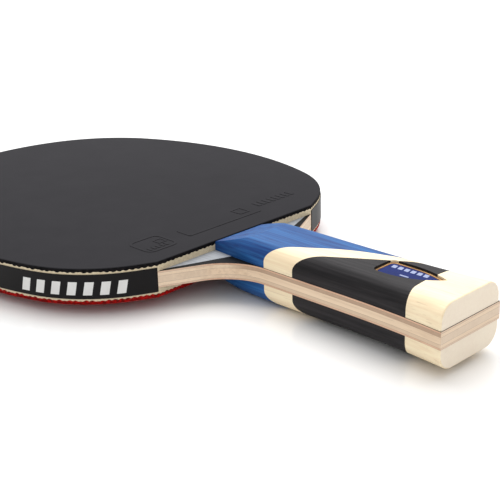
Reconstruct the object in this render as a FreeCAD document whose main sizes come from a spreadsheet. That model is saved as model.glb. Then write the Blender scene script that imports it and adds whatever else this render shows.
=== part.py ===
import FreeCAD, Part
import Sketcher
import math
import os
from collections import namedtuple

# A table tennis paddle: a five-ply blade, a sponge and a topsheet on each face, edge tape,
# and a handle of two scales, each glued up from four blocks, with a badge sunk in the upper one.
#
# +X runs along the long axis from the blade's tip to the handle's butt, +Z out of the black
# rubber, and the origin is under the middle of the object, on the plane of the lower scale.
# Inside each body, X = 0 is the line where the rubbers are cut off in front of the handle.

SIZES = (
    # the blade's outline, seen from above
    ("blade_length", 157.0, "rubber's cut line to the blade's tip"),
    ("blade_width", 150.0, "across the widest place"),
    ("widest_offset", 10.7, "middle of the blade to its widest place, towards the handle"),
    ("tip_bulge", 8.5, "tip arc's radius, over half the blade's width"),
    ("corner_tightness", 15.0, "radius of the arcs from tip to sides, under half the width"),
    ("side_fall", 20.8, "how far a side arc, carried on to the cut line, would come in"),
    ("lower_radius", 45.8, "arcs from the sides into the shoulders"),
    ("cut_narrowing", 36.1, "how much narrower each side of the blade is at the cut line"),
    ("shoulder_angle", 26.0, "slant of a shoulder from the cut line, degrees"),
    ("shoulder_radius", 21.0, "hollow arc from a shoulder into the grip"),
    # the grip's outline
    ("handle_length", 100.0, "cut line to the butt"),
    ("grip_half_width", 13.3, "half the width of the straight grip"),
    ("flare_length", 40.0, "start of the flare to the butt"),
    ("flare_radius", 350.0, "hollow arc of the flared sides"),
    # layers
    ("core_thickness", 2.4, "middle ply"),
    ("inner_veneer", 1.2, "ply next to the core"),
    ("face_veneer", 0.6, "outer ply"),
    ("sponge_thickness", 1.9, "foam layer of a rubber"),
    ("topsheet_thickness", 1.7, "pimpled skin of a rubber"),
    ("tape_width", 8.8, "edge tape, across the edge"),
    ("tape_thickness", 0.25, "edge tape"),
    # handle scales
    ("scale_thickness", 8.1, "height of a scale over the blade"),
    ("scale_inset", 0.2, "how far the blade stands proud of the scales"),
    ("scale_rounding", 6.0, "rounding of a scale's long edges"),
    ("end_rounding", 0.6, "rounding of a scale's butt edges"),
    ("front_narrowing", 1.3, "how much narrower each side of a scale is at the cut line"),
    ("taper_length", 30.0, "cut line to where a scale is as wide as the grip"),
    ("front_height", 3.1, "height of a scale at the cut line"),
    ("ramp_length", 16.0, "slope from the front height to the full thickness"),
    # joints between the blocks of a scale, as distances from the butt
    ("joint_margin", 3.7, "how far each joint's curve is drawn past the straight grip"),
    ("blue_near", 81.0, "blue block's end on the near side"),
    ("blue_far", 16.0, "blue block's end on the far side"),
    ("blue_bow", 55.0, "radius of its bowed stretch"),
    ("blue_turn_along", 42.0, "where its curve turns over"),
    ("blue_turn_across", 5.7, "where its curve turns over, from the middle"),
    ("blue_turn_slant", 16.0, "slant of the curve where it turns over, degrees"),
    ("stripe_near", 67.7, "pale stripe's end on the near side"),
    ("stripe_far", 14.0, "pale stripe's end on the far side"),
    ("stripe_bow", 600.0, "radius of its bowed stretch"),
    ("stripe_turn_along", 30.0, "where its curve turns over"),
    ("stripe_turn_across", 6.8, "where its curve turns over, from the middle"),
    ("butt_joint", 13.5, "black block's end at the sides"),
    ("butt_bow", 60.0, "radius of the joint with the butt block"),
    # badge, whose places along the handle are distances from the butt too
    ("badge_left", 34.7, "the badge's square end"),
    ("badge_half_width", 5.55, "half the badge's width"),
    ("badge_corner", 2.5, "rounding of the square end"),
    ("badge_near_turn", 29.0, "where the near side starts to curve in"),
    ("badge_near_radius", 25.1, "curve of the near side"),
    ("badge_far_turn", 26.0, "where the far side starts to curve in"),
    ("badge_far_radius", 36.7, "curve of the far side"),
    ("badge_depth", 1.2, "depth of the badge's pocket"),
    ("rim_width", 1.1, "width of the badge's rim"),
    ("rim_height", 0.6, "thickness of the badge's rim"),
    ("plate_height", 0.5, "thickness of the badge's plate"),
    ("badge_gap", 0.05, "clearance between the badge and its pocket"),
)

# how far a cutter reaches past what it cuts
CUTTER_MARGIN = 5.0

PLY = "(sizes.core_thickness / 2 + sizes.inner_veneer + sizes.face_veneer)"
TIP_RADIUS = "(sizes.blade_width / 2 + sizes.tip_bulge)"
CORNER_RADIUS = "(sizes.blade_width / 2 - sizes.corner_tightness)"
WIDEST_PLACE = "(sizes.blade_length / 2 - sizes.widest_offset)"
SIDE_RADIUS = "((" + WIDEST_PLACE + "^2 + sizes.side_fall^2) / (2 * sizes.side_fall))"
CUT_HALF_WIDTH = "(sizes.blade_width / 2 - sizes.cut_narrowing)"
FLARE_START = "(sizes.handle_length - sizes.flare_length)"
JOINT_REACH = "(sizes.grip_half_width + sizes.joint_margin)"
MIDDLE_X = "(sizes.blade_length + sizes.tape_thickness - sizes.handle_length) / 2"
MIDDLE_Z = "(" + PLY + " + sizes.scale_thickness)"

UPPER = 1
LOWER = -1
BEGIN = 1
END = 2
CENTRE = 3
ORIGIN = (-1, 1)
X_AXIS = -1
Y_AXIS = -2

size = {name: value for name, value, note in SIZES}
tip_radius = size["blade_width"] / 2 + size["tip_bulge"]
corner_radius = size["blade_width"] / 2 - size["corner_tightness"]
widest_place = size["blade_length"] / 2 - size["widest_offset"]
side_radius = (widest_place ** 2 + size["side_fall"] ** 2) / (2 * size["side_fall"])
cut_half_width = size["blade_width"] / 2 - size["cut_narrowing"]
flare_start = size["handle_length"] - size["flare_length"]
joint_reach = size["grip_half_width"] + size["joint_margin"]
doc = FreeCAD.newDocument("paddle")

# A curve of an outline, in the order in which the outline runs.
Curve = namedtuple("Curve", "kind begin end centre clockwise")
# The same curve in a sketch: its number, and which of its two ends comes first.
Drawn = namedtuple("Drawn", "index begin end")


def make_sheet():
    """Put the driving dimensions in a spreadsheet, one alias to a row."""
    sheet = doc.addObject("Spreadsheet::Sheet", "sizes")
    for row, (name, value, note) in enumerate(SIZES, 1):
        sheet.set("A%d" % row, name)
        sheet.set("B%d" % row, "%g" % value)
        sheet.set("C%d" % row, note)
        sheet.setAlias("B%d" % row, name)
    doc.recompute()


def point(x, y):
    return FreeCAD.Vector(x, y, 0)


def polar(centre, radius, angle):
    return centre + point(radius * math.cos(angle), radius * math.sin(angle))


def angle_of(vector):
    return math.atan2(vector.y, vector.x)


def line(begin, end):
    return Curve("line", begin, end, None, False)


def arc(begin, end, centre, clockwise):
    return Curve("arc", begin, end, centre, clockwise)


def bow(begin, end, radius, clockwise):
    """The arc of a radius, under half a turn, between two points."""
    chord = end - begin
    half = chord.Length / 2
    rise = math.sqrt(radius * radius - half * half)
    side = point(-chord.y, chord.x).normalize()
    if clockwise:
        side = side.negative()
    return arc(begin, end, begin + chord * 0.5 + side * rise, clockwise)


def flipped(curve):
    """The curve's mirror image in the X axis."""
    def flip(p):
        return None if p is None else point(p.x, -p.y)
    return Curve(curve.kind, flip(curve.begin), flip(curve.end), flip(curve.centre), not curve.clockwise)


def draw(sketch, curve):
    """Add one curve to a sketch."""
    if curve.kind == "line":
        index = sketch.addGeometry(Part.LineSegment(curve.begin, curve.end), False)
        return Drawn(index, BEGIN, END)
    first, last = (curve.end, curve.begin) if curve.clockwise else (curve.begin, curve.end)
    start = angle_of(first - curve.centre)
    stop = angle_of(last - curve.centre)
    if stop < start:
        stop += 2 * math.pi
    circle = Part.Circle(curve.centre, FreeCAD.Vector(0, 0, 1), (first - curve.centre).Length)
    index = sketch.addGeometry(Part.ArcOfCircle(circle, start, stop), False)
    return Drawn(index, END, BEGIN) if curve.clockwise else Drawn(index, BEGIN, END)


def constrain(sketch, *terms):
    return sketch.addConstraint(Sketcher.Constraint(*terms))


def dimension(sketch, name, formula, *terms):
    """Add a dimension under a name and bind it to the sheet."""
    number = constrain(sketch, *terms)
    sketch.renameConstraint(number, name)
    sketch.setExpression("Constraints." + name, formula)


def radius_of(sketch, name, formula, drawn):
    dimension(sketch, name, formula, "Radius", drawn.index, sketch.Geometry[drawn.index].Radius)


def place(sketch, name, axis, formula, index, end):
    """Dimension one coordinate of a point from the origin, either way along its axis."""
    found = sketch.getPoint(index, end)
    value = found.x if axis == "X" else found.y
    if value < 0:
        dimension(sketch, name, formula, "Distance" + axis, index, end, *ORIGIN, -value)
    else:
        dimension(sketch, name, formula, "Distance" + axis, *ORIGIN, index, end, value)


def join(sketch, first, second):
    constrain(sketch, "Coincident", first.index, first.end, second.index, second.begin)


def join_smoothly(sketch, first, second):
    constrain(sketch, "Tangent", first.index, first.end, second.index, second.begin)


def new_sketch(body, name, role="XY_Plane"):
    """A sketch on one of the body's own origin planes."""
    plane = next(feature for feature in body.Origin.OriginFeatures if feature.Role == role)
    sketch = body.newObject("Sketcher::SketchObject", name)
    sketch.AttachmentSupport = [(plane, "")]
    sketch.MapMode = "FlatFace"
    return sketch


def new_body(name, lift="0", turned=False):
    """A body whose X = 0 is the cut line, lifted above or below the middle of the blade."""
    body = doc.addObject("PartDesign::Body", name)
    body.Label = name
    if turned:
        body.Placement = FreeCAD.Placement(FreeCAD.Vector(), FreeCAD.Rotation(FreeCAD.Vector(1, 0, 0), 180))
    body.setExpression("Placement.Base.x", MIDDLE_X)
    body.setExpression("Placement.Base.z", MIDDLE_Z + " + (" + lift + ")")
    return body


def pad(body, sketch, height):
    """Raise a sketch to a height given in terms of the sheet."""
    feature = body.newObject("PartDesign::Pad", sketch.Name + "_pad")
    feature.Profile = sketch
    feature.setExpression("Length", height)
    sketch.Visibility = False
    doc.recompute()
    return feature


def pocket(body, sketch, feature_name, both_ways=False):
    """Cut a sketch through the body, upwards from its plane or to both sides of it."""
    before = body.Shape.Volume
    feature = body.newObject("PartDesign::Pocket", feature_name)
    feature.Profile = sketch
    feature.Type = "ThroughAll"
    feature.Reversed = not both_ways
    if both_ways:
        feature.SideType = "Symmetric"
    doc.recompute()
    if body.Shape.Volume >= before:
        raise RuntimeError(feature_name + " cuts nothing")
    return feature


def mirror_half(sketch, half, curves):
    """Draw the half outline's mirror image and tie it to the first half, curve by curve."""
    other = [draw(sketch, flipped(curve)) for curve in curves]
    for first, second in zip(other, other[1:]):
        join(sketch, first, second)
    for one, two, curve in zip(half, other, curves):
        constrain(sketch, "Symmetric", one.index, one.end, two.index, two.end, X_AXIS)
        if curve.kind == "arc":
            constrain(sketch, "Equal", one.index, two.index)
    return other


def crossing(centre_a, radius_a, centre_b, radius_b):
    """The two points where two circles cross."""
    between = centre_b - centre_a
    reach = between.Length
    along = (radius_a ** 2 - radius_b ** 2 + reach ** 2) / (2 * reach)
    across = math.sqrt(radius_a ** 2 - along ** 2)
    middle = centre_a + between * (along / reach)
    side = point(-between.y, between.x) * (across / reach)
    return middle + side, middle - side


def blade_curves(grow=0.0):
    """Half of the blade's outline from its tip to the cut line, and the arc across the tip."""
    slant = math.radians(size["shoulder_angle"])
    outward = point(math.cos(slant), math.sin(slant))
    down = point(math.sin(slant), -math.cos(slant))
    tip_centre = point(tip_radius - size["blade_length"], 0)
    side_centre = point(-widest_place, size["blade_width"] / 2 - side_radius)
    corner_centre = min(
        crossing(tip_centre, tip_radius - corner_radius,
                 side_centre, side_radius - corner_radius),
        key=lambda p: p.x)
    shoulder = point(0, cut_half_width)
    inside = shoulder - outward * size["lower_radius"]
    offset = inside - side_centre
    reach = side_radius - size["lower_radius"]
    back = offset.dot(down)
    slide = -back - math.sqrt(back * back - offset.Length ** 2 + reach * reach)
    lower_centre = inside + down * slide

    tip_end = polar(tip_centre, tip_radius + grow, angle_of(corner_centre - tip_centre))
    corner_end = polar(corner_centre, corner_radius + grow, angle_of(corner_centre - side_centre))
    side_end = polar(lower_centre, size["lower_radius"] + grow, angle_of(lower_centre - side_centre))
    lower_end = polar(lower_centre, size["lower_radius"] + grow, slant)
    cut_end = point(0, cut_half_width + grow / math.sin(slant))
    tip = arc(point(tip_end.x, -tip_end.y), tip_end, tip_centre, True)
    half = [
        arc(tip_end, corner_end, corner_centre, True),
        arc(corner_end, side_end, side_centre, True),
        arc(side_end, lower_end, lower_centre, True),
        line(lower_end, cut_end),
    ]
    return tip, half


def dimension_blade(sketch, tip, half, grow):
    """Tie the tip, corner, side and lower arcs and the slant of the shoulder to the sheet."""
    corner, side, lower, shoulder = half[:4]
    join_smoothly(sketch, tip, corner)
    join_smoothly(sketch, corner, side)
    join_smoothly(sketch, side, lower)
    join_smoothly(sketch, lower, shoulder)
    constrain(sketch, "Symmetric", tip.index, tip.begin, tip.index, tip.end, X_AXIS)
    radius_of(sketch, "tip_radius", TIP_RADIUS + grow, tip)
    radius_of(sketch, "corner_radius", CORNER_RADIUS + grow, corner)
    radius_of(sketch, "side_radius", SIDE_RADIUS + grow, side)
    radius_of(sketch, "lower_radius", "sizes.lower_radius" + grow, lower)
    place(sketch, "tip_centre", "X", "sizes.blade_length - " + TIP_RADIUS, tip.index, CENTRE)
    place(sketch, "widest_place", "X", WIDEST_PLACE, side.index, CENTRE)
    place(sketch, "side_centre", "Y", SIDE_RADIUS + " - sizes.blade_width / 2", side.index, CENTRE)
    slant = math.radians(90 - size["shoulder_angle"])
    dimension(sketch, "shoulder_slant", "90 - sizes.shoulder_angle",
              "Angle", shoulder.index, END, X_AXIS, END, slant)


def rubber_sketch(body, name, grow=0.0, grow_formula=""):
    """The outline of a rubber, which ends at the cut line; the tape's outside is a little larger."""
    tip_curve, curves = blade_curves(grow)
    sketch = new_sketch(body, name)
    tip = draw(sketch, tip_curve)
    half = [draw(sketch, curve) for curve in curves]
    cut = draw(sketch, line(curves[-1].end, flipped(curves[-1]).end))
    dimension_blade(sketch, tip, half, grow_formula)
    shoulder = half[-1]
    constrain(sketch, "PointOnObject", shoulder.index, END, Y_AXIS)
    widen = CUT_HALF_WIDTH
    if grow_formula:
        widen += grow_formula + " / sin(sizes.shoulder_angle * 1 deg)"
    place(sketch, "cut_half_width", "Y", widen, shoulder.index, END)
    other = mirror_half(sketch, half, curves)
    join(sketch, tip_other_way(tip), other[0])
    join(sketch, shoulder, cut)
    constrain(sketch, "Coincident", cut.index, END, other[-1].index, END)
    return sketch


def tip_other_way(tip):
    """The tip's arc, read from the far side to the near one."""
    return Drawn(tip.index, tip.end, tip.begin)


def blade_sketch(body, name):
    """The outline of a ply: the blade, its shoulders, and the grip to the butt."""
    tip_curve, curves = blade_curves()
    slant = math.radians(size["shoulder_angle"])
    grip = size["grip_half_width"]
    corner = point((cut_half_width - grip) * math.tan(slant), grip)
    reach = size["shoulder_radius"] * math.tan(math.pi / 4 - slant / 2)
    shoulder_end = corner - point(math.sin(slant), -math.cos(slant)) * reach
    grip_begin = corner + point(reach, 0)
    grip_end = point(flare_start, grip)
    shoulder_centre = grip_begin + point(0, size["shoulder_radius"])
    flare_centre = grip_end + point(0, size["flare_radius"])
    butt_end = flare_end(flare_centre, size["flare_radius"], size["handle_length"])
    curves[-1] = line(curves[-1].begin, shoulder_end)
    curves += [
        arc(shoulder_end, grip_begin, shoulder_centre, False),
        line(grip_begin, grip_end),
        arc(grip_end, butt_end, flare_centre, False),
    ]
    sketch = new_sketch(body, name)
    tip = draw(sketch, tip_curve)
    half = [draw(sketch, curve) for curve in curves]
    butt = draw(sketch, line(butt_end, flipped(curves[-1]).end))
    dimension_blade(sketch, tip, half, "")
    shoulder, hollow, straight, flare = half[3:]
    join_smoothly(sketch, shoulder, hollow)
    join_smoothly(sketch, hollow, straight)
    join_smoothly(sketch, straight, flare)
    dimension(sketch, "shoulder_line", CUT_HALF_WIDTH + " * sin(sizes.shoulder_angle * 1 deg)",
              "Distance", *ORIGIN, shoulder.index, cut_half_width * math.sin(slant))
    radius_of(sketch, "shoulder_radius", "sizes.shoulder_radius", hollow)
    dimension_grip(sketch, straight, flare, "sizes.grip_half_width", "sizes.flare_radius",
                   "sizes.handle_length")
    other = mirror_half(sketch, half, curves)
    join(sketch, tip_other_way(tip), other[0])
    join(sketch, flare, butt)
    constrain(sketch, "Coincident", butt.index, END, other[-1].index, other[-1].end)
    return sketch


def flare_end(centre, radius, along):
    """The point at a distance along the handle on the flare's hollow arc."""
    run = along - centre.x
    return point(along, centre.y - math.sqrt(radius * radius - run * run))


def dimension_grip(sketch, straight, flare, half_width, radius, length):
    """Tie the straight grip and its flare to the sheet."""
    constrain(sketch, "Horizontal", straight.index)
    place(sketch, "grip_half_width", "Y", half_width, straight.index, straight.end)
    place(sketch, "flare_start", "X", FLARE_START, straight.index, straight.end)
    radius_of(sketch, "flare_radius", radius, flare)
    place(sketch, "grip_length", "X", length, flare.index, flare.end)


def make_plies():
    """Five plies with one outline, stacked from the core outwards."""
    lift = {
        "core_ply": "-sizes.core_thickness / 2",
        "upper_inner_veneer": "sizes.core_thickness / 2",
        "lower_inner_veneer": "-sizes.core_thickness / 2 - sizes.inner_veneer",
        "upper_face_veneer": "sizes.core_thickness / 2 + sizes.inner_veneer",
        "lower_face_veneer": "-" + PLY,
    }
    thickness = {
        "core_ply": "sizes.core_thickness",
        "upper_inner_veneer": "sizes.inner_veneer",
        "lower_inner_veneer": "sizes.inner_veneer",
        "upper_face_veneer": "sizes.face_veneer",
        "lower_face_veneer": "sizes.face_veneer",
    }
    plies = []
    for name in lift:
        body = new_body(name, lift[name])
        pad(body, blade_sketch(body, name + "_outline"), thickness[name])
        plies.append(body)
    return plies


def make_rubbers():
    """A sponge and a topsheet on each face of the blade."""
    lift = {
        "upper_sponge": PLY,
        "lower_sponge": "-" + PLY + " - sizes.sponge_thickness",
        "black_topsheet": PLY + " + sizes.sponge_thickness",
        "red_topsheet": "-" + PLY + " - sizes.sponge_thickness - sizes.topsheet_thickness",
    }
    layers = []
    for name in lift:
        body = new_body(name, lift[name])
        thickness = "sizes.sponge_thickness" if "sponge" in name else "sizes.topsheet_thickness"
        pad(body, rubber_sketch(body, name + "_outline"), thickness)
        layers.append(body)
    return layers


def make_tape():
    """Edge tape round the blade from shoulder to shoulder, lapping onto both sponges."""
    body = new_body("edge_tape", "-sizes.tape_width / 2")
    outside = rubber_sketch(body, "tape_outside", size["tape_thickness"], " + sizes.tape_thickness")
    pad(body, outside, "sizes.tape_width")
    inside = rubber_sketch(body, "tape_inside")
    pocket(body, inside, "tape_opening")
    return body


def scale_sketch(body, name):
    """The outline of a handle scale, a little inside the blade's grip."""
    grip = size["grip_half_width"] - size["scale_inset"]
    flare = size["flare_radius"] + size["scale_inset"]
    front = point(0, grip - size["front_narrowing"])
    grip_begin = point(size["taper_length"], grip)
    grip_end = point(flare_start, grip)
    narrowing = size["front_narrowing"]
    taper_radius = (size["taper_length"] ** 2 + narrowing ** 2) / (2 * narrowing)
    flare_centre = grip_end + point(0, flare)
    butt_end = flare_end(flare_centre, flare, size["handle_length"] - size["scale_inset"])
    curves = [
        arc(front, grip_begin, grip_begin - point(0, taper_radius), True),
        line(grip_begin, grip_end),
        arc(grip_end, butt_end, flare_centre, False),
    ]
    sketch = new_sketch(body, name)
    half = [draw(sketch, curve) for curve in curves]
    taper, straight, hollow = half
    front_line = draw(sketch, line(point(front.x, -front.y), front))
    butt = draw(sketch, line(butt_end, flipped(curves[-1]).end))
    join_smoothly(sketch, taper, straight)
    join_smoothly(sketch, straight, hollow)
    constrain(sketch, "PointOnObject", taper.index, taper.begin, Y_AXIS)
    front_formula = "sizes.grip_half_width - sizes.scale_inset - sizes.front_narrowing"
    place(sketch, "front_half_width", "Y", front_formula, taper.index, taper.begin)
    place(sketch, "taper_length", "X", "sizes.taper_length", straight.index, straight.begin)
    dimension_grip(sketch, straight, hollow, "sizes.grip_half_width - sizes.scale_inset",
                   "sizes.flare_radius + sizes.scale_inset", "sizes.handle_length - sizes.scale_inset")
    other = mirror_half(sketch, half, curves)
    constrain(sketch, "Symmetric", taper.index, taper.begin, other[0].index, other[0].begin, X_AXIS)
    join(sketch, front_line, taper)
    constrain(sketch, "Coincident", front_line.index, BEGIN, other[0].index, other[0].begin)
    join(sketch, hollow, butt)
    constrain(sketch, "Coincident", butt.index, END, other[-1].index, other[-1].end)
    return sketch


def ramp_sketch(body, name):
    """The wedge that is cut off above a scale's front end, seen from the side."""
    top = size["scale_thickness"] + CUTTER_MARGIN
    corners = [
        point(0, size["front_height"]),
        point(size["ramp_length"], size["scale_thickness"]),
        point(size["ramp_length"], top),
        point(-CUTTER_MARGIN, top),
        point(-CUTTER_MARGIN, size["front_height"]),
    ]
    sketch = new_sketch(body, name, "XZ_Plane")
    sides = [draw(sketch, line(a, b)) for a, b in zip(corners, corners[1:] + corners[:1])]
    for one, two in zip(sides, sides[1:] + sides[:1]):
        join(sketch, one, two)
    slope, rise, ceiling, front, sill = sides
    for upright in (rise, front):
        constrain(sketch, "Vertical", upright.index)
    for level in (ceiling, sill):
        constrain(sketch, "Horizontal", level.index)
    constrain(sketch, "PointOnObject", slope.index, BEGIN, Y_AXIS)
    place(sketch, "front_height", "Y", "sizes.front_height", slope.index, BEGIN)
    place(sketch, "ramp_length", "X", "sizes.ramp_length", slope.index, END)
    place(sketch, "full_height", "Y", "sizes.scale_thickness", slope.index, END)
    margin = "%g" % CUTTER_MARGIN
    place(sketch, "ceiling", "Y", "sizes.scale_thickness + " + margin, ceiling.index, END)
    place(sketch, "clear_of_front", "X", margin, front.index, END)
    return sketch


def round_edges(body, name, formula, chosen):
    """Round the edges of the body's last feature that a test picks out."""
    base = body.Tip
    names = ["Edge%d" % (n + 1) for n, edge in enumerate(base.Shape.Edges) if chosen(edge.BoundBox)]
    feature = body.newObject("PartDesign::Fillet", name)
    feature.Base = (base, names)
    feature.setExpression("Radius", formula)
    doc.recompute()
    return feature


def make_scale(name, side):
    """A whole handle scale, before it is divided into blocks."""
    lift = PLY if side == UPPER else "-" + PLY
    body = new_body(name, lift, turned=side == LOWER)
    pad(body, scale_sketch(body, name + "_outline"), "sizes.scale_thickness")
    butt = size["handle_length"] - size["scale_inset"]
    top = size["scale_thickness"]

    def long_edge(box):
        return box.ZMin > top - 0.01 and box.XLength > 1

    def butt_edge(box):
        return box.XMin > butt - 0.01 and box.ZMax > 0.01

    round_edges(body, name + "_long_edges", "sizes.scale_rounding", long_edge)
    pocket(body, ramp_sketch(body, name + "_front"), name + "_ramp", both_ways=True)
    round_edges(body, name + "_butt_edges", "sizes.end_rounding", butt_edge)
    return body


def from_butt(name):
    """A place along the handle that is measured from the butt, as its distance from the cut line."""
    return size["handle_length"] - size[name]


def butt_formula(name):
    return "sizes.handle_length - sizes." + name


def joint_points(name):
    """A turned joint's near end, the place where it turns over, and its far end."""
    near = point(from_butt(name + "_near"), -joint_reach)
    turn = point(from_butt(name + "_turn_along"), size[name + "_turn_across"])
    far = point(from_butt(name + "_far"), joint_reach)
    return near, turn, far


def touch(begin, centre, radius):
    """Where a line from a point touches a clockwise circle."""
    gap = begin - centre
    return polar(centre, radius, angle_of(gap) - math.acos(radius / gap.Length))


def blue_joint():
    """The curve between the blue block and the pale stripe, from the near side to the far one."""
    near, turn, far = joint_points("blue")
    slant = math.radians(size["blue_turn_slant"])
    centre = turn + point(math.sin(slant), -math.cos(slant)) * size["blue_bow"]
    bend = touch(near, centre, size["blue_bow"])
    bowed = arc(bend, turn, centre, True)
    return [line(near, bend), bowed, carry_on(bowed, far)]


def stripe_joint():
    """The curve between the pale stripe and the black block."""
    near, turn, far = joint_points("stripe")
    bowed = bow(near, turn, size["stripe_bow"], True)
    return [bowed, carry_on(bowed, far)]


def carry_on(bowed, far):
    """The arc that leaves a bowed stretch smoothly and ends at a joint's far end."""
    turn = bowed.end
    inward = (bowed.centre - turn).normalize()
    chord = far - turn
    radius = chord.dot(chord) / (2 * abs(chord.dot(inward)))
    bends_on = chord.dot(inward) > 0
    centre = turn + inward * (radius if bends_on else -radius)
    return arc(turn, far, centre, bends_on)


def butt_joint():
    """The curve between the black block and the butt block."""
    near = point(from_butt("butt_joint"), -joint_reach)
    far = point(from_butt("butt_joint"), joint_reach)
    return [bow(near, far, size["butt_bow"], True)]


def straight_edge(along):
    """A cutter's edge clear of the scale's end."""
    return [line(point(along, -joint_reach), point(along, joint_reach))]


def draw_joint(sketch, name, curves):
    """Draw a joint's curve in a sketch and tie it to the sheet."""
    drawn = [draw(sketch, curve) for curve in curves]
    first, last = drawn[0], drawn[-1]
    place(sketch, name + "_near_across", "Y", JOINT_REACH, first.index, first.begin)
    place(sketch, name + "_far_across", "Y", JOINT_REACH, last.index, last.end)
    if name == "front":
        margin = "%g" % CUTTER_MARGIN
        place(sketch, "front_clear", "X", margin, first.index, first.begin)
        constrain(sketch, "Vertical", first.index)
    elif name == "end":
        clear = "sizes.handle_length + %g" % CUTTER_MARGIN
        place(sketch, "end_clear", "X", clear, first.index, first.begin)
        constrain(sketch, "Vertical", first.index)
    elif name == "butt":
        place(sketch, "butt_near", "X", butt_formula("butt_joint"), first.index, first.begin)
        place(sketch, "butt_far", "X", butt_formula("butt_joint"), last.index, last.end)
        radius_of(sketch, "butt_bow", "sizes.butt_bow", first)
    else:
        dimension_turned_joint(sketch, name, drawn)
    return first, last


def dimension_turned_joint(sketch, name, drawn):
    """Tie a joint that turns over to the sheet."""
    first, bowed, last = drawn[0], drawn[-2], drawn[-1]
    for one, two in zip(drawn, drawn[1:]):
        join_smoothly(sketch, one, two)
    place(sketch, name + "_near", "X", butt_formula(name + "_near"), first.index, first.begin)
    place(sketch, name + "_far", "X", butt_formula(name + "_far"), last.index, last.end)
    radius_of(sketch, name + "_bow", "sizes.%s_bow" % name, bowed)
    turn_formula = butt_formula(name + "_turn_along")
    place(sketch, name + "_turn_along", "X", turn_formula, bowed.index, bowed.end)
    place(sketch, name + "_turn_across", "Y", "sizes.%s_turn_across" % name, bowed.index, bowed.end)
    if name == "blue":
        centre_formula = turn_formula + " + sizes.blue_bow * sin(sizes.blue_turn_slant * 1 deg)"
        place(sketch, "blue_bow_centre", "X", centre_formula, bowed.index, CENTRE)


def make_block_cutter(name, front, back):
    """A tall prism over one block's share of the handle, between two joints."""
    body = new_body(name + "_cutter", "-" + PLY + " - sizes.scale_thickness - %g" % CUTTER_MARGIN)
    sketch = new_sketch(body, name + "_plan")
    front_first, front_last = draw_joint(sketch, front[0], front[1])
    back_first, back_last = draw_joint(sketch, back[0], back[1])
    near = draw(sketch, line(front[1][0].begin, back[1][0].begin))
    far = draw(sketch, line(front[1][-1].end, back[1][-1].end))
    constrain(sketch, "Coincident", near.index, BEGIN, front_first.index, front_first.begin)
    constrain(sketch, "Coincident", near.index, END, back_first.index, back_first.begin)
    constrain(sketch, "Coincident", far.index, BEGIN, front_last.index, front_last.end)
    constrain(sketch, "Coincident", far.index, END, back_last.index, back_last.end)
    pad(body, sketch, "2 * (" + PLY + " + sizes.scale_thickness + %g)" % CUTTER_MARGIN)
    return body


def make_block_cutters():
    """The four prisms that divide a scale, from the cut line to the butt."""
    front = ("front", straight_edge(-CUTTER_MARGIN))
    blue = ("blue", blue_joint())
    stripe = ("stripe", stripe_joint())
    butt = ("butt", butt_joint())
    end = ("end", straight_edge(size["handle_length"] + CUTTER_MARGIN))
    return {
        "blue_block": make_block_cutter("blue_block", front, blue),
        "pale_stripe": make_block_cutter("pale_stripe", blue, stripe),
        "black_block": make_block_cutter("black_block", stripe, butt),
        "butt_block": make_block_cutter("butt_block", butt, end),
    }


def badge_sketch(body, name, inset=0.0, inset_formula="0"):
    """The badge's outline: square with round corners at one end, and a point at the other."""
    half_width = size["badge_half_width"] - inset
    corner = size["badge_corner"] - inset
    left = from_butt("badge_left") + inset
    near_centre = point(from_butt("badge_near_turn"), size["badge_near_radius"] - size["badge_half_width"])
    far_centre = point(from_butt("badge_far_turn"), size["badge_half_width"] - size["badge_far_radius"])
    near_radius = size["badge_near_radius"] - inset
    far_radius = size["badge_far_radius"] - inset
    peak = max(crossing(near_centre, near_radius, far_centre, far_radius), key=lambda p: p.x)
    near_turn = point(near_centre.x, -half_width)
    far_turn = point(far_centre.x, half_width)
    near_corner = point(left + corner, -half_width + corner)
    far_corner = point(left + corner, half_width - corner)
    curves = [
        line(point(left, far_corner.y), point(left, near_corner.y)),
        arc(point(left, near_corner.y), point(near_corner.x, -half_width), near_corner, False),
        line(point(near_corner.x, -half_width), near_turn),
        arc(near_turn, peak, near_centre, False),
        arc(peak, far_turn, far_centre, False),
        line(far_turn, point(far_corner.x, half_width)),
        arc(point(far_corner.x, half_width), point(left, far_corner.y), far_corner, False),
    ]
    sketch = new_sketch(body, name)
    drawn = [draw(sketch, curve) for curve in curves]
    square_end, near_round, near_side, near_curve, far_curve, far_side, far_round = drawn
    for one, two in zip(drawn, drawn[1:] + drawn[:1]):
        if one is near_curve:
            join(sketch, one, two)
        else:
            join_smoothly(sketch, one, two)
    narrow = "sizes.badge_half_width - " + inset_formula
    constrain(sketch, "Vertical", square_end.index)
    constrain(sketch, "Horizontal", near_side.index)
    constrain(sketch, "Horizontal", far_side.index)
    place(sketch, "left", "X", butt_formula("badge_left") + " + " + inset_formula, square_end.index, BEGIN)
    place(sketch, "near_width", "Y", narrow, near_side.index, BEGIN)
    place(sketch, "far_width", "Y", narrow, far_side.index, BEGIN)
    place(sketch, "near_turn", "X", butt_formula("badge_near_turn"), near_curve.index, CENTRE)
    place(sketch, "far_turn", "X", butt_formula("badge_far_turn"), far_curve.index, CENTRE)
    radius_of(sketch, "near_corner", "sizes.badge_corner - " + inset_formula, near_round)
    radius_of(sketch, "far_corner", "sizes.badge_corner - " + inset_formula, far_round)
    radius_of(sketch, "near_radius", "sizes.badge_near_radius - " + inset_formula, near_curve)
    radius_of(sketch, "far_radius", "sizes.badge_far_radius - " + inset_formula, far_curve)
    return sketch


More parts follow.
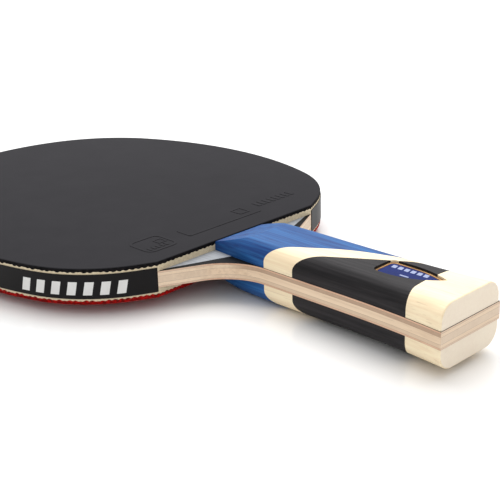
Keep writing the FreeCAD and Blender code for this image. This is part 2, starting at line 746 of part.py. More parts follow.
def make_badge():
    """The pocket's cutter, and the rim and the plate that lie in the pocket."""
    floor = PLY + " + sizes.scale_thickness - sizes.badge_depth"
    cutter = new_body("badge_pocket_cutter", floor)
    pad(cutter, badge_sketch(cutter, "badge_pocket_plan"), "sizes.badge_depth + %g" % CUTTER_MARGIN)

    gap = size["badge_gap"]
    rim = new_body("badge_rim", floor)
    pad(rim, badge_sketch(rim, "rim_outside", gap, "sizes.badge_gap"), "sizes.rim_height")
    inner = gap + size["rim_width"]
    opening = badge_sketch(rim, "rim_inside", inner, "(sizes.badge_gap + sizes.rim_width)")
    pocket(rim, opening, "rim_opening")

    plate = new_body("badge_plate", floor)
    inner_formula = "(2 * sizes.badge_gap + sizes.rim_width)"
    pad(plate, badge_sketch(plate, "plate_outline", inner + gap, inner_formula), "sizes.plate_height")
    return cutter, rim, plate


def boolean(kind, name, base, tool):
    """A Part boolean of two objects of the document."""
    result = doc.addObject("Part::" + kind, name)
    result.Base = base
    result.Tool = tool
    result.Label = name
    return result


def make_blocks(badge_pocket):
    """Divide both scales into their blocks and sink the badge's pocket in the upper one."""
    cutters = make_block_cutters()
    blocks = []
    for side_name, side in (("upper", UPPER), ("lower", LOWER)):
        scale = make_scale(side_name + "_scale", side)
        for block_name, cutter in cutters.items():
            name = side_name + "_" + block_name
            holds_badge = side == UPPER and block_name != "blue_block"
            if holds_badge:
                whole = boolean("Common", name + "_whole", scale, cutter)
                blocks.append(boolean("Cut", name, whole, badge_pocket))
            else:
                blocks.append(boolean("Common", name, scale, cutter))
    return blocks


def check_document():
    """Stop if anything in the document failed to build."""
    for item in doc.Objects:
        if "Invalid" in item.State or "Error" in item.State:
            raise RuntimeError(item.Name + " failed: " + ", ".join(item.State))


def write_parts(nodes):
    """Check each sub-part and write it to its own file."""
    os.makedirs("parts", exist_ok=True)
    for node in nodes:
        shape = node.Shape
        if shape.isNull() or not shape.isValid() or len(shape.Solids) != 1:
            raise RuntimeError(node.Label + " is not one valid solid")
        shape.exportStep("parts/" + node.Label + ".step")
        box = shape.BoundBox
        print("%-20s %9.1f mm3  x %.2f %.2f  y %.2f %.2f  z %.2f %.2f" % (
            node.Label, shape.Volume, box.XMin, box.XMax, box.YMin, box.YMax, box.ZMin, box.ZMax))


def main():
    make_sheet()
    nodes = make_plies() + make_rubbers() + [make_tape()]
    badge_pocket, rim, plate = make_badge()
    nodes += make_blocks(badge_pocket) + [rim, plate]
    doc.recompute()
    check_document()
    write_parts(nodes)


main()
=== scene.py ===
# %% [markdown]
# # A table tennis paddle
# The paddle is a glued stack: five plies of wood, a foam layer and a rubber skin on each face, a tape round
# the edge, and a handle made of coloured blocks. Its solids come ready-made from CAD, and they stay where
# they are. This lesson gives each of them the look of its own stuff: rubber, foam, wood, tape, gilt, enamel.
# Where the CAD solid is too plain, a finer piece is made from a copy of it.

# %% Tools, and the fixed frame
import math

import bmesh
import bpy
from mathutils import Matrix, Quaternion, Vector
from mathutils.bvhtree import BVHTree


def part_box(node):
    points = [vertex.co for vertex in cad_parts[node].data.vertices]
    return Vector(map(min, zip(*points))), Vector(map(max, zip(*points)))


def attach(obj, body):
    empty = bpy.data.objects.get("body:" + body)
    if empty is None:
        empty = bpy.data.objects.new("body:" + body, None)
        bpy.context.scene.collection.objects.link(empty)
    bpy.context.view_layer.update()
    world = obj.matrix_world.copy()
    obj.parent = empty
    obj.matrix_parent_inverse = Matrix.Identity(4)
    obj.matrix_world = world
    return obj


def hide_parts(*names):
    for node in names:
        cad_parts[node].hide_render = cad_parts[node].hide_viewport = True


MM = 0.001
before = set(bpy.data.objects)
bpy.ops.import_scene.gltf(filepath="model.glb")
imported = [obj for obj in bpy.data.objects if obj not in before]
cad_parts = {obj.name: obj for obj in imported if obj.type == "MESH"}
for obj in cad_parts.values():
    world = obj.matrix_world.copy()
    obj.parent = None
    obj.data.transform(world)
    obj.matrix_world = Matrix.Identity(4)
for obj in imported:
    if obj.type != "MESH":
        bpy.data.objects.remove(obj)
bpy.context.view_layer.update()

# %% [markdown]
# Every place below is measured on the solids. The rubbers stop at the cut line, the handle starts there,
# and the blade's middle plane halves the core ply. The paddle touches the table in two places: at the tip,
# on the red rubber's rim, and under the handle, where the ramp at its front ends.

# %% Places that the pieces share
rubber_low, rubber_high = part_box("black_topsheet")
red_low, red_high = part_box("red_topsheet")
core_low, core_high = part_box("core_ply")
cut_x = rubber_high.x
tip_x = rubber_low.x
blade_middle = (core_low.z + core_high.z) / 2
LEVEL = 0.01 * MM


def ramp_end(node):
    """Where a block's lowest flat starts, going from the cut line to the butt."""
    low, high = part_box(node)
    flat = [v.co.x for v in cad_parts[node].data.vertices if v.co.z < low.z + LEVEL]
    return min(flat), low.z


rest_x, rest_z = ramp_end("lower_blue_block")
print("cut line at %.1f mm, rests at %.1f mm and at the tip" % (cut_x / MM, rest_x / MM))

# %% [markdown]
# The camera stands low over the butt, to the right of the long axis, and looks across the blade. A long lens
# from half an arm's length keeps the blade's round outline calm. It leans a little, as a hand-held one does.

# %% Camera
AIM = Vector((cut_x + 3.9 * MM, 1.6 * MM, blade_middle))
AZIMUTH = 45.16
ELEVATION = 20.90
LEAN = -1.574
DISTANCE = 0.416
LENS = 83.12


def direction(azimuth, elevation):
    """The way from the paddle to somebody at an azimuth and elevation, in degrees."""
    turn, climb = math.radians(azimuth), math.radians(elevation)
    return Vector((math.sin(turn) * math.cos(climb), -math.cos(turn) * math.cos(climb), math.sin(climb)))


camera = bpy.data.objects.new("camera", bpy.data.cameras.new("camera"))
bpy.context.scene.collection.objects.link(camera)
bpy.context.scene.camera = camera
back = direction(AZIMUTH, ELEVATION)
camera.location = AIM + back * DISTANCE
camera.rotation_mode = "QUATERNION"
camera.rotation_quaternion = back.to_track_quat("Z", "Y") @ Quaternion((0, 0, 1), math.radians(LEAN))
camera.data.lens = LENS
camera.data.clip_start = 0.01
print("camera at", [round(c, 3) for c in camera.location])

# %% [markdown]
# A colour is easiest to pick from a card, where it is three numbers from 0 to 255. A shader wants linear
# light, so `tint` converts. `node` keeps each material to a few readable lines: it adds a shader node, sets
# its options, and either sets an input or plugs another node into it.

# %% Helpers for materials


def tint(red, green, blue):
    """A colour card's numbers as the linear colour that a shader takes."""
    def linear(part):
        part /= 255
        return part / 12.92 if part <= 0.04045 else ((part + 0.055) / 1.055) ** 2.4
    return (linear(red), linear(green), linear(blue), 1.0)


def node(tree, kind, inputs=None, **options):
    """Add a shader node, set its options, and set or plug its inputs, by name or by number."""
    made = tree.nodes.new("ShaderNode" + kind)
    for option, value in options.items():
        setattr(made, option, value)
    for place, value in (inputs or {}).items():
        if isinstance(value, bpy.types.NodeSocket):
            tree.links.new(value, made.inputs[place])
        else:
            made.inputs[place].default_value = value
    return made


def new_finish(name, **constants):
    """A material with a Principled shader, whose even-all-over values are set on its own sockets."""
    finish = bpy.data.materials.new(name)
    finish.use_nodes = True
    tree = finish.node_tree
    shader = tree.nodes["Principled BSDF"]
    for socket, value in constants.items():
        shader.inputs[socket.replace("_", " ")].default_value = value
    return finish, tree, shader


def places(tree, scale=(1, 1, 1), turn=0.0):
    """The shaded point's place in metres, turned about Z and multiplied along each axis."""
    where = node(tree, "TexCoord").outputs["Object"]
    sizes = {"Vector": where, "Scale": scale, "Rotation": (0, 0, turn)}
    return node(tree, "Mapping", sizes).outputs[0]


def noise(tree, vector, scale=1.0, detail=3.0, distortion=0.0):
    """Soft random clouds, from 0 to 1."""
    sizes = {"Vector": vector, "Scale": scale, "Detail": detail, "Distortion": distortion}
    return node(tree, "TexNoise", sizes).outputs[0]


def math_of(tree, operation, first, second=0.0):
    """One step of arithmetic."""
    return node(tree, "Math", {0: first, 1: second}, operation=operation).outputs[0]


def blend(tree, factor, first, second):
    """Mix two colours."""
    return node(tree, "Mix", {0: factor, 6: first, 7: second}, data_type="RGBA").outputs[2]


def spread(tree, value, low, high, to_low=0.0, to_high=1.0):
    """Stretch a value's range, with soft ends."""
    sizes = {0: value, 1: low, 2: high, 3: to_low, 4: to_high}
    return node(tree, "MapRange", sizes, interpolation_type="SMOOTHSTEP").outputs[0]


def relief(tree, shader, height, depth):
    """Raise the surface by a height pattern of a real depth."""
    bump = node(tree, "Bump", {"Height": height, "Distance": depth, "Strength": 1.0})
    tree.links.new(bump.outputs[0], shader.inputs["Normal"])


# %% [markdown]
# Wood is streaks. Long grain is a noise pattern pulled out along the fibre, so that a streak is thirty times
# as long as it is wide; on an end that is cut across, the same pattern shows as fine dots. Two sizes of noise
# give broad bands and fine fibres, and a third, cut off hard, gives the short dark pores.

# %% Wood
GRAIN_ALONG = 34
GRAIN_ACROSS = 1100
BROAD = 0.13
PORE = 2.6
PORE_STRENGTH = 0.45
PORE_SHADE = 0.72
GRAIN_DEPTH = 0.03 * MM


def wood(name, dark, light, fibre="X", bands=0.5, **constants):
    """Wood whose grain runs along X or Y, with a share of broad bands over its fine fibres."""
    finish, tree, shader = new_finish(name, **constants)

    def pulled(factor):
        short, long = GRAIN_ACROSS * factor, GRAIN_ALONG * factor
        scale = (long, short, short) if fibre == "X" else (short, long, short)
        return places(tree, scale)

    fibres = noise(tree, pulled(1.0), detail=4)
    broad = noise(tree, pulled(BROAD), detail=2, distortion=0.6)
    both = node(tree, "Mix", {0: bands, 2: fibres, 3: broad}).outputs[0]
    colour = blend(tree, spread(tree, both, 0.32, 0.68), dark, light)
    pores = spread(tree, noise(tree, pulled(PORE), detail=1), 0.66, 0.74)
    shade = tuple(PORE_SHADE * part for part in dark[:3]) + (1.0,)
    colour = blend(tree, math_of(tree, "MULTIPLY", pores, PORE_STRENGTH), colour, shade)
    tree.links.new(colour, shader.inputs["Base Color"])
    relief(tree, shader, math_of(tree, "SUBTRACT", fibres, pores), GRAIN_DEPTH)
    return finish, tree, shader, colour


blue_wood = wood("blue_wood", tint(12, 50, 112), tint(42, 104, 166),
                 Roughness=0.5, Specular_IOR_Level=0.22)[0]
black_wood = wood("black_wood", tint(17, 15, 17), tint(47, 44, 46),
                  Roughness=0.6, Specular_IOR_Level=0.2)[0]
print("two stained woods")

# %% [markdown]
# The blade's plies are glued, and each joint shows on the edge as a thin dark line. The inner plies lie
# across the others, so along the grip their fibres end at the edge, and end grain drinks varnish and darkens.
# The upper one is darker still there: that is painted shade, from the upper block that overhangs its edge.

# %% The blade's plies
GLUE = 0.07 * MM
GLUE_STRENGTH = 0.55
GLUE_BROWN = tint(120, 88, 64)
END_STRENGTH = 0.75
GLUED_LAYERS = ("core_ply", "upper_inner_veneer", "upper_face_veneer", "upper_sponge",
                "lower_inner_veneer", "lower_face_veneer")
glue_heights = sorted({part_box(ply)[0].z for ply in GLUED_LAYERS})


def normal_part(tree, axis):
    """How far the surface faces along an axis, either way."""
    parts = node(tree, "SeparateXYZ", {0: node(tree, "NewGeometry").outputs["Normal"]}).outputs
    return math_of(tree, "ABSOLUTE", parts[axis])


def ply(name, dark, light, end_grain_and_shade, fibre="X"):
    """Varnished wood with glue lines, darker where its fibres are cut off; that end colour can carry painted
    shade too.
    """
    finish, tree, shader, colour = wood(name, dark, light, fibre, Roughness=0.55, Specular_IOR_Level=0.3)
    ends = spread(tree, normal_part(tree, "XY".index(fibre)), 0.75, 0.98)
    colour = blend(tree, ends, colour, blend(tree, END_STRENGTH, colour, end_grain_and_shade))
    height = node(tree, "SeparateXYZ", {0: places(tree)}).outputs[2]
    for glue_height in glue_heights:
        apart = math_of(tree, "ABSOLUTE", math_of(tree, "SUBTRACT", height, glue_height))
        line = spread(tree, apart, 0.2 * GLUE, GLUE, GLUE_STRENGTH, 0.0)
        colour = blend(tree, line, colour, GLUE_BROWN)
    tree.links.new(colour, shader.inputs["Base Color"])
    return finish, tree, shader, colour


pale_wood = ply("pale_wood", tint(240, 216, 180), tint(254, 238, 203), tint(240, 228, 212))[0]
core_wood = ply("core_wood", tint(214, 186, 156), tint(238, 213, 184), tint(222, 202, 180))[0]
# The upper veneer's end colour is darker than the lower's: painted shade from the upper block above its edge.
upper_veneer = ply("upper_veneer", tint(222, 197, 170), tint(240, 217, 190), tint(168, 136, 112), "Y")[0]
lower_veneer = ply("lower_veneer", tint(222, 197, 170), tint(240, 217, 190), tint(216, 190, 162), "Y")[0]

# %% [markdown]
# The face plies are pinkish, and each carries a print that shows beside the handle: brushed silver next to
# the rubber, and black from a slanting line onwards. The print lies only on the faces, so a normal that
# points up or down lets it show, and the wood's edge stays bare.

# %% Face ply with its print
PRINT_START = 0.6 * MM
PRINT_HALF = 34 * MM
PRINT_SLANT = 0.382
BRUSH = (60, 2600, 60)
BRUSH_TURN = math.radians(20)


def printed_face(name):
    """Pinkish wood, with silver and then black ink on the faces that lie flat."""
    finish, tree, shader, wood_colour = ply(name, tint(200, 160, 134), tint(226, 188, 160),
                                            tint(226, 204, 182))
    shader.inputs["Specular IOR Level"].default_value = 0.1
    apart = node(tree, "SeparateXYZ", {0: places(tree)}).outputs
    inward = math_of(tree, "SUBTRACT", PRINT_HALF, math_of(tree, "ABSOLUTE", apart[1]))
    line = math_of(tree, "ADD", math_of(tree, "MULTIPLY", inward, PRINT_SLANT), cut_x + PRINT_START)
    beyond = math_of(tree, "GREATER_THAN", apart[0], line)
    brushed = noise(tree, places(tree, BRUSH, BRUSH_TURN), detail=2)
    silver = blend(tree, brushed, tint(118, 121, 126), tint(176, 179, 184))
    black = blend(tree, brushed, tint(6, 6, 8), tint(12, 12, 15))
    ink = blend(tree, beyond, silver, black)
    on_face = math_of(tree, "GREATER_THAN", normal_part(tree, 2), 0.5)
    tree.links.new(blend(tree, on_face, wood_colour, ink), shader.inputs["Base Color"])
    return finish


face_wood = printed_face("face_wood")

# %% [markdown]
# Sheet rubber is smooth and dull on top. Its edge is cut with a knife through the pimples that it stands on,
# so the edge is mottled, light in some places and dark in others. Foam is paler, and full of round pores.

# %% Rubber and foam
RUBBER_CLOUDS = (90, 90, 90)
RUBBER_MOTTLE = (900, 900, 1500)
RUBBER_GRAIN = (2600, 2600, 2600)
RUBBER_DEPTH = 0.012 * MM
FOAM_CELLS = 3800
FOAM_CLOUDS = (700, 700, 700)
FOAM_PAINTED_SHADE = 0.35
FOAM_DEPTH = 0.06 * MM


def rubber(name, face, dull, edge_dark, edge_light, **constants):
    """Rubber with an even face and a mottled cut edge."""
    finish, tree, shader = new_finish(name, **constants)
    cloudy = noise(tree, places(tree, RUBBER_CLOUDS), detail=2)
    surface = blend(tree, cloudy, face, dull)
    mottle = spread(tree, noise(tree, places(tree, RUBBER_MOTTLE), detail=3), 0.40, 0.62)
    edge = blend(tree, mottle, edge_dark, edge_light)
    on_face = spread(tree, normal_part(tree, 2), 0.25, 0.6)
    tree.links.new(blend(tree, on_face, edge, surface), shader.inputs["Base Color"])
    grain = noise(tree, places(tree, RUBBER_GRAIN), detail=2)
    relief(tree, shader, grain, RUBBER_DEPTH)
    return finish


black_rubber = rubber("black_rubber", tint(42, 41, 44), tint(47, 46, 49), tint(9, 9, 10),
                      tint(26, 24, 26), Roughness=0.75, Specular_IOR_Level=0.06)
red_rubber = rubber("red_rubber", tint(150, 12, 10), tint(160, 14, 12), tint(96, 3, 2),
                    tint(170, 14, 10), Roughness=0.65, Specular_IOR_Level=0.08)


def foam(name):
    """Cream foam, sunk in its open cells, with painted shade in them."""
    finish, tree, shader = new_finish(name, Roughness=0.85, Specular_IOR_Level=0.2)
    cells = node(tree, "TexVoronoi", {"Vector": places(tree), "Scale": FOAM_CELLS}).outputs["Distance"]
    open_cell = spread(tree, cells, 0.15, 0.6)
    cloudy = noise(tree, places(tree, FOAM_CLOUDS), detail=2)
    cream = blend(tree, cloudy, tint(210, 194, 162), tint(234, 219, 190))
    # Towards brown in the open cells: painted shade in the pores.
    colour = blend(tree, open_cell, blend(tree, FOAM_PAINTED_SHADE, cream, tint(120, 96, 66)), cream)
    tree.links.new(colour, shader.inputs["Base Color"])
    relief(tree, shader, open_cell, FOAM_DEPTH)
    return finish


sponge = foam("sponge")

# %% [markdown]
# The tape is a plastic film with a satin skin that follows every small hollow of the edge under it, so its
# reflections wander a little. The badge is stamped metal, gilt on its rim and enamelled blue inside. One
# recipe serves all of them: faint clouds of colour, and slow waves of a given depth.

# %% Tape, ink, gilt and enamel
SATIN_CLOUDS = (260, 260, 260)
SATIN_WAVES = (150, 150, 400)


def satin(name, dark, light, wander, **constants):
    """A smooth skin with faint clouds of colour and slow waves in its surface."""
    finish, tree, shader = new_finish(name, **constants)
    clouds = noise(tree, places(tree, SATIN_CLOUDS), detail=3)
    tree.links.new(blend(tree, clouds, dark, light), shader.inputs["Base Color"])
    waves = noise(tree, places(tree, SATIN_WAVES), detail=2)
    relief(tree, shader, waves, wander)
    return finish


tape = satin("tape", tint(13, 11, 12), tint(19, 17, 18), 0.03 * MM, Roughness=0.4, Specular_IOR_Level=0.14)
tape_ink = satin("tape_ink", tint(212, 212, 209), tint(226, 226, 224), 0.02 * MM, Roughness=0.5)
gilt = satin("gilt", tint(108, 80, 48), tint(158, 120, 76), 0.02 * MM, Metallic=0.9, Roughness=0.38)
enamel = satin("badge_blue", tint(8, 26, 86), tint(14, 38, 108), 0.01 * MM,
               Roughness=0.5, Specular_IOR_Level=0.08)
pale_enamel = satin("badge_white", tint(126, 138, 178), tint(156, 166, 200), 0.01 * MM, Roughness=0.5)

# %% [markdown]
# Fourteen solids are good enough as they are: the five plies, the tape and the handle's eight blocks. Each
# keeps its mesh and only changes its material.

# %% Materials on the solids that stay
STAYS = {
    "core_ply": core_wood,
    "upper_inner_veneer": upper_veneer,
    "lower_inner_veneer": lower_veneer,
    "upper_face_veneer": face_wood,
    "lower_face_veneer": face_wood,
    "edge_tape": tape,
}
BLOCKS = {
    "blue_block": blue_wood,
    "pale_stripe": pale_wood,
    "black_block": black_wood,
    "butt_block": pale_wood,
}
for side in ("upper", "lower"):
    for block, finish in BLOCKS.items():
        STAYS[side + "_" + block] = finish
for name, finish in STAYS.items():
    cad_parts[name].material_slots[0].material = finish
print(len(STAYS), "solids have their finish")

# %% [markdown]
# A finer piece starts as a copy of its CAD solid. The copy comes as loose triangles, so `blank` welds them
# and takes out the edges inside each flat face. `shown` turns the finished bmesh into a piece that rides on
# the paddle and stands for the solid it came from.

# %% Helpers for pieces
WELD = 0.002 * MM
FLAT = math.radians(0.5)
CREASE = math.radians(35)


def blank(name):
    """A welded copy of a CAD solid with whole flat faces."""
    work = bmesh.new()
    work.from_mesh(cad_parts[name].data)
    bmesh.ops.remove_doubles(work, verts=work.verts, dist=WELD)
    bmesh.ops.dissolve_limit(work, angle_limit=FLAT, verts=work.verts, edges=work.edges)
    return work


def shown(work, name, finish, slot, *stands_for):
    """Make a piece of a bmesh, with smooth faces and sharp creases."""
    bmesh.ops.recalc_face_normals(work, faces=work.faces)
    mesh = bpy.data.meshes.new(name)
    work.to_mesh(mesh)
    work.free()
    mesh.shade_smooth()
    mesh.set_sharp_from_angle(angle=CREASE)
    mesh.materials.append(finish)
    piece = bpy.data.objects.new(name, mesh)
    bpy.context.scene.collection.objects.link(piece)
    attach(piece, "root")
    if stands_for:
        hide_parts(*stands_for)
    print("%s: %d faces" % (name, len(mesh.polygons)))
    return piece


def edges_at(work, height):
    """The edges that lie at a height."""
    return [e for e in work.edges if all(abs(v.co.z - height) < WELD for v in e.verts)]


def cap_at(work, height):
    """The flat face that lies at a height, in one piece."""
    flats = [f for f in work.faces if all(abs(v.co.z - height) < WELD for v in f.verts)]
    if len(flats) > 1:
        flats = bmesh.ops.dissolve_faces(work, faces=flats)["region"]
    return flats[0]


def soften(work, edges, size, segments=3):
    """Round some edges over."""
    bmesh.ops.bevel(work, geom=edges, offset=size, offset_type="OFFSET", affect="EDGES",
                    segments=segments, profile=0.5, material=-1)


def tile(work, x, y, width, depth, top, thick, corner=0.0, band=0.0, lean=0.0):
    """A thin raised shape: a round-cornered tile, or only its border, that may lean along X."""
    verts = bmesh.ops.create_grid(work, x_segments=1, y_segments=1, size=0.5)["verts"]
    bmesh.ops.scale(work, verts=verts, vec=(width, depth, 1))
    for vert in verts:
        vert.co.x += lean * vert.co.y
    bmesh.ops.translate(work, verts=verts, vec=(x, y, top - thick))
    faces = list(verts[0].link_faces)
    if corner:
        bmesh.ops.bevel(work, geom=verts, offset=corner, offset_type="OFFSET", affect="VERTICES",
                        segments=4, profile=0.5, material=-1)
        # The bevel leaves a new face, the only one in the piece that no other face is joined to.
        faces = [f for f in work.faces if all(e.is_boundary for e in f.edges)]
    if band:
        inner = faces
        faces = bmesh.ops.inset_region(work, faces=inner, thickness=band, use_even_offset=True,
                                       use_boundary=True)["faces"]
        bmesh.ops.delete(work, geom=inner, context="FACES")
    bmesh.ops.solidify(work, geom=faces, thickness=-thick)


# %% [markdown]
# Where foam and rubber meet, the cut edge isn't a straight line. The rubber stands on pimples, in rows like
# a honeycomb, and the foam and glue rise a little between them. Three waves, a third of a turn apart, make
# such a lattice, and the knife's path through it gives the scallops their uneven pitch. The foam's rim goes
# up by that wave, and the rubber's rim goes up by the same, so the two stay face to face.

# %% The scalloped line between foam and rubber
PIMPLE_PITCH = 2.15 * MM
SCALLOP = 0.5 * MM
WAVES_LOW = -1.5
WAVES_HIGH = 3
RIM_STEP = 0.45 * MM
RIM_DEPTH = 0.7 * MM


def pimple_wave(place):
    """1 over a pimple's middle, down to 0 in the hollows between pimples."""
    pitch = 2 * math.pi / PIMPLE_PITCH
    x, y = place.x * pitch, place.y * pitch / math.sqrt(3)
    waves = math.cos(x - y) + math.cos(x + y) + math.cos(2 * y)
    return (waves - WAVES_LOW) / (WAVES_HIGH - WAVES_LOW)


def rise(place):
    """How far the scalloped line climbs at a place on the outline."""
    return SCALLOP * (1 - pimple_wave(place)) ** 2


def refine_rim(work, *heights):
    """Divide the outline's edges at each height into short steps."""
    groups = {}
    for height in heights:
        for edge in edges_at(work, height):
            cuts = round(edge.calc_length() / RIM_STEP) - 1
            groups.setdefault(cuts, []).append(edge)
    for cuts, edges in groups.items():
        if cuts > 0:
            bmesh.ops.subdivide_edges(work, edges=edges, cuts=cuts, use_grid_fill=True,
                                       use_only_quads=True)


def rubber_layer(node_name, meeting, outside, way):
    """A foam or rubber layer, scalloped where it meets its partner."""
    work = blank(node_name)
    # Each flat end becomes one face first, so that its rim is the layer's outline and nothing else.
    for height in (meeting, outside):
        cap_at(work, height)
    refine_rim(work, meeting, outside)
    bmesh.ops.inset_region(work, faces=[cap_at(work, meeting)], thickness=RIM_DEPTH, use_even_offset=True)
    for vert in work.verts:
        on_cap = abs(vert.co.z - meeting) < WELD
        if on_cap and any(abs(e.other_vert(vert).co.z - meeting) > WELD for e in vert.link_edges):
            vert.co.z += way * rise(vert.co)
    return work


foam_low, foam_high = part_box("upper_sponge")
under_low, under_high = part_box("lower_sponge")
upper_foam = rubber_layer("upper_sponge", foam_high.z, foam_low.z, 1)
shown(upper_foam, "upper_foam", sponge, "sponge", "upper_sponge")
lower_foam = rubber_layer("lower_sponge", under_low.z, under_high.z, -1)
shown(lower_foam, "lower_foam", sponge, "sponge", "lower_sponge")

# %% [markdown]
# Every sheet of rubber carries marks, moulded a little proud of the skin near the handle. These are made-up
# ones: a rounded frame with a small square and five bars in it, a long thin ridge that ends in a foot, a
# second small frame, and a row of eight bars. The sheet on the other face has the same marks, turned over.
# Each mark is written in millimetres: how far along from the cut line (negative is towards the tip), how far
# across, its size along and across, its corners, and its border's width, with 0 for a mark that is filled.

# %% Rubber sheets with moulded marks
MARK_HEIGHT = 0.14 * MM
MARK_SINK = 0.3 * MM
SHEET_SOFT = 0.4 * MM
MARKS = (
    (-14.0, -28.5, 13.0, 14.0, 3.0, 0.9),
    (-14.5, -25.0, 4.0, 4.0, 0.6, 0.7),
    (-10.0, 3.5, 0.7, 36.0, 0.0, 0.0),
    (-13.4, -14.4, 7.0, 0.7, 0.0, 0.0),
    (-15.7, 16.3, 6.0, 5.2, 0.8, 0.8),
)
BARS = [(-10.6, -33.0 + 1.9 * step, 2.4, 1.1, 0.25, 0.0) for step in range(5)]
BARS += [(-16.3, 26.0 + 2.6 * step, 4.4, 1.5, 0.3, 0.0) for step in range(8)]


def mould_marks(work, face, way):
    """Add the marks to a sheet whose skin lies at a height and faces up or down."""
    for x, y, width, depth, corner, band in MARKS + tuple(BARS):
        top = face + MARK_HEIGHT if way > 0 else face + MARK_SINK
        tile(work, cut_x + x * MM, way * y * MM, width * MM, depth * MM, top, MARK_HEIGHT + MARK_SINK,
             corner * MM, band * MM)


black_sheet = rubber_layer("black_topsheet", rubber_low.z, rubber_high.z, 1)
soften(black_sheet, edges_at(black_sheet, rubber_high.z), SHEET_SOFT)
mould_marks(black_sheet, rubber_high.z, 1)
shown(black_sheet, "black_sheet", black_rubber, "black_rubber", "black_topsheet")
red_sheet = rubber_layer("red_topsheet", red_high.z, red_low.z, -1)
soften(red_sheet, edges_at(red_sheet, red_low.z), SHEET_SOFT)
mould_marks(red_sheet, red_low.z, -1)
shown(red_sheet, "red_sheet", red_rubber, "red_rubber", "red_topsheet")

# %% [markdown]
# The tape carries a printed row of slanting bars on the side next to the handle's near corner. The ink is a
# film that follows the tape, so its places are looked up on the tape itself: a probe comes in from outside,
# turning about the middle of the cut line, and the distances between its hits add up along the tape.

# %% The print on the tape
PROBE = 0.2
PROBES = 259
PROBE_TURN = 0.25
INK = 0.03 * MM
INK_START = 10.4 * MM
INK_BARS = 7
BAR_WIDTH = 3.1 * MM
BAR_PITCH = 5.73 * MM
BAR_LEAN = 0.2
BAR_LOW = -2.95 * MM
BAR_HIGH = 1.8 * MM
BAR_STEPS = 8

tape_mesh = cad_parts["edge_tape"].data
tape_wall = BVHTree.FromPolygons([v.co for v in tape_mesh.vertices], [p.vertices for p in tape_mesh.polygons])
hub = Vector((cut_x, 0, blade_middle))
path = []
for step in range(1, PROBES + 1):
    angle = math.radians(step * PROBE_TURN)
    way = Vector((-math.sin(angle), -math.cos(angle), 0))
    hit, outward = tape_wall.ray_cast(hub + way * PROBE, -way)[:2]
    so_far = path[-1][0] + (hit - path[-1][1]).length if path else 0.0
    path.append((so_far, hit, outward))


def on_tape(along):
    """The place at a distance along the tape's outer wall, and its outward way."""
    after = next(n for n, stop in enumerate(path) if stop[0] > along)
    (low, first, first_way), (high, second, second_way) = path[after - 1], path[after]
    share = (along - low) / (high - low)
    return first.lerp(second, share), first_way.lerp(second_way, share).normalized()


work = bmesh.new()
for bar in range(INK_BARS):
    verts = bmesh.ops.create_grid(work, x_segments=BAR_STEPS, y_segments=1, size=0.5)["verts"]
    faces = {f for v in verts for f in v.link_faces}
    for vert in verts:
        height = BAR_LOW + (vert.co.y + 0.5) * (BAR_HIGH - BAR_LOW)
        along = INK_START + bar * BAR_PITCH + (vert.co.x + 0.5) * BAR_WIDTH - BAR_LEAN * (height - BAR_LOW)
        spot, outward = on_tape(along)
        vert.co = spot + outward * INK
        vert.co.z = blade_middle + height
    # The bars have moved since their normals were worked out, and solidify follows the normals.
    work.normal_update()
    bmesh.ops.solidify(work, geom=list(faces), thickness=INK)
shown(work, "tape_print", tape_ink, "tape")

# %% [markdown]
# The badge lies in its pocket. Its stamped rim and plate have soft edges, and the plate carries a row of
# raised pale bars and one small bar beside them. Each is written in millimetres: how far from the plate's
# end, how far across, its length and width, and how much it leans.

# %% Badge
RIM_SOFT = 0.22 * MM
PLATE_SOFT = 0.15 * MM
RAISED = 0.1 * MM
MARK_CORNER = 0.2 * MM
BADGE_MARKS = [(2.4 + 2.5 * step, 2.0, 1.7, 2.1, -0.2) for step in range(6)]
BADGE_MARKS.append((9.6, -2.5, 3.4, 0.7, 0.0))

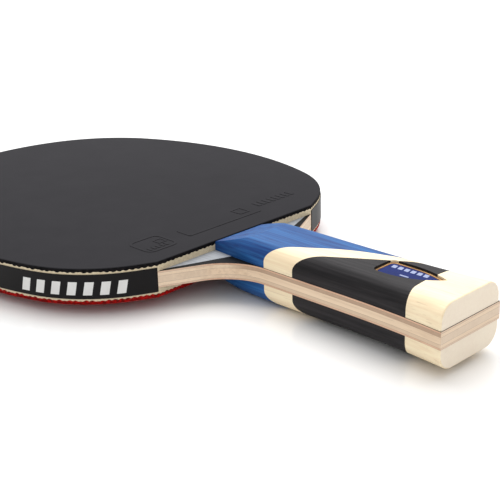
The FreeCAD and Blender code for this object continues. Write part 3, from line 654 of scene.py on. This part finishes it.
rim_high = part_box("badge_rim")[1]
plate_low, plate_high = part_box("badge_plate")
rim = blank("badge_rim")
soften(rim, edges_at(rim, rim_high.z), RIM_SOFT, 2)
shown(rim, "badge_border", gilt, "gilt", "badge_rim")
plate = blank("badge_plate")
soften(plate, edges_at(plate, plate_high.z), PLATE_SOFT, 2)
shown(plate, "badge_field", enamel, "badge_blue", "badge_plate")
marks = bmesh.new()
for x, y, width, depth, lean in BADGE_MARKS:
    tile(marks, plate_low.x + x * MM, y * MM, width * MM, depth * MM, plate_high.z + RAISED,
         2 * RAISED, MARK_CORNER, lean=lean)
shown(marks, "badge_marks", pale_enamel, "badge_blue")

# %% [markdown]
# The table is a glossy white sheet. It isn't level with the blade: the paddle leans on its tip and on the
# front of its handle, so the table is laid through those two places. One big soft light hangs behind the
# paddle, and the pale surroundings fill in the rest.

# %% Table and light
TABLE_SIZE = 6.0
ROOM_LIGHT = 0.82
slope = math.atan2(red_low.z - rest_z, rest_x - tip_x)
work = bmesh.new()
bmesh.ops.create_grid(work, x_segments=1, y_segments=1, size=TABLE_SIZE)
bmesh.ops.rotate(work, verts=work.verts, cent=(0, 0, 0), matrix=Matrix.Rotation(slope, 3, "Y"))
bmesh.ops.translate(work, verts=work.verts, vec=(rest_x, 0, rest_z))
table_mesh = bpy.data.meshes.new("table")
work.to_mesh(table_mesh)
work.free()
table = bpy.data.objects.new("table", table_mesh)
gloss = {"Roughness": 0.2, "Specular_IOR_Level": 0.9, "Base_Color": (0.88, 0.875, 0.87, 1)}
table_mesh.materials.append(new_finish("table", **gloss)[0])
bpy.context.scene.collection.objects.link(table)


def soft_light(name, azimuth, elevation, distance, width, power):
    """A square lamp that faces the paddle."""
    lamp = bpy.data.lights.new(name, "AREA")
    lamp.size = width
    lamp.energy = power
    hung = bpy.data.objects.new(name, lamp)
    bpy.context.scene.collection.objects.link(hung)
    way = direction(azimuth, elevation)
    hung.location = AIM + way * distance
    hung.rotation_mode = "QUATERNION"
    hung.rotation_quaternion = way.to_track_quat("Z", "Y")
    return hung


soft_light("key", azimuth=AZIMUTH + 175, elevation=62, distance=1.3, width=1.3, power=20)
world = bpy.data.worlds.new("room")
bpy.context.scene.world = world
world.use_nodes = True
world.node_tree.nodes["Background"].inputs["Color"].default_value = (1, 1, 1, 1)
world.node_tree.nodes["Background"].inputs["Strength"].default_value = ROOM_LIGHT
bpy.context.scene.view_settings.view_transform = "Standard"
print("table slopes by %.2f degrees" % math.degrees(slope))
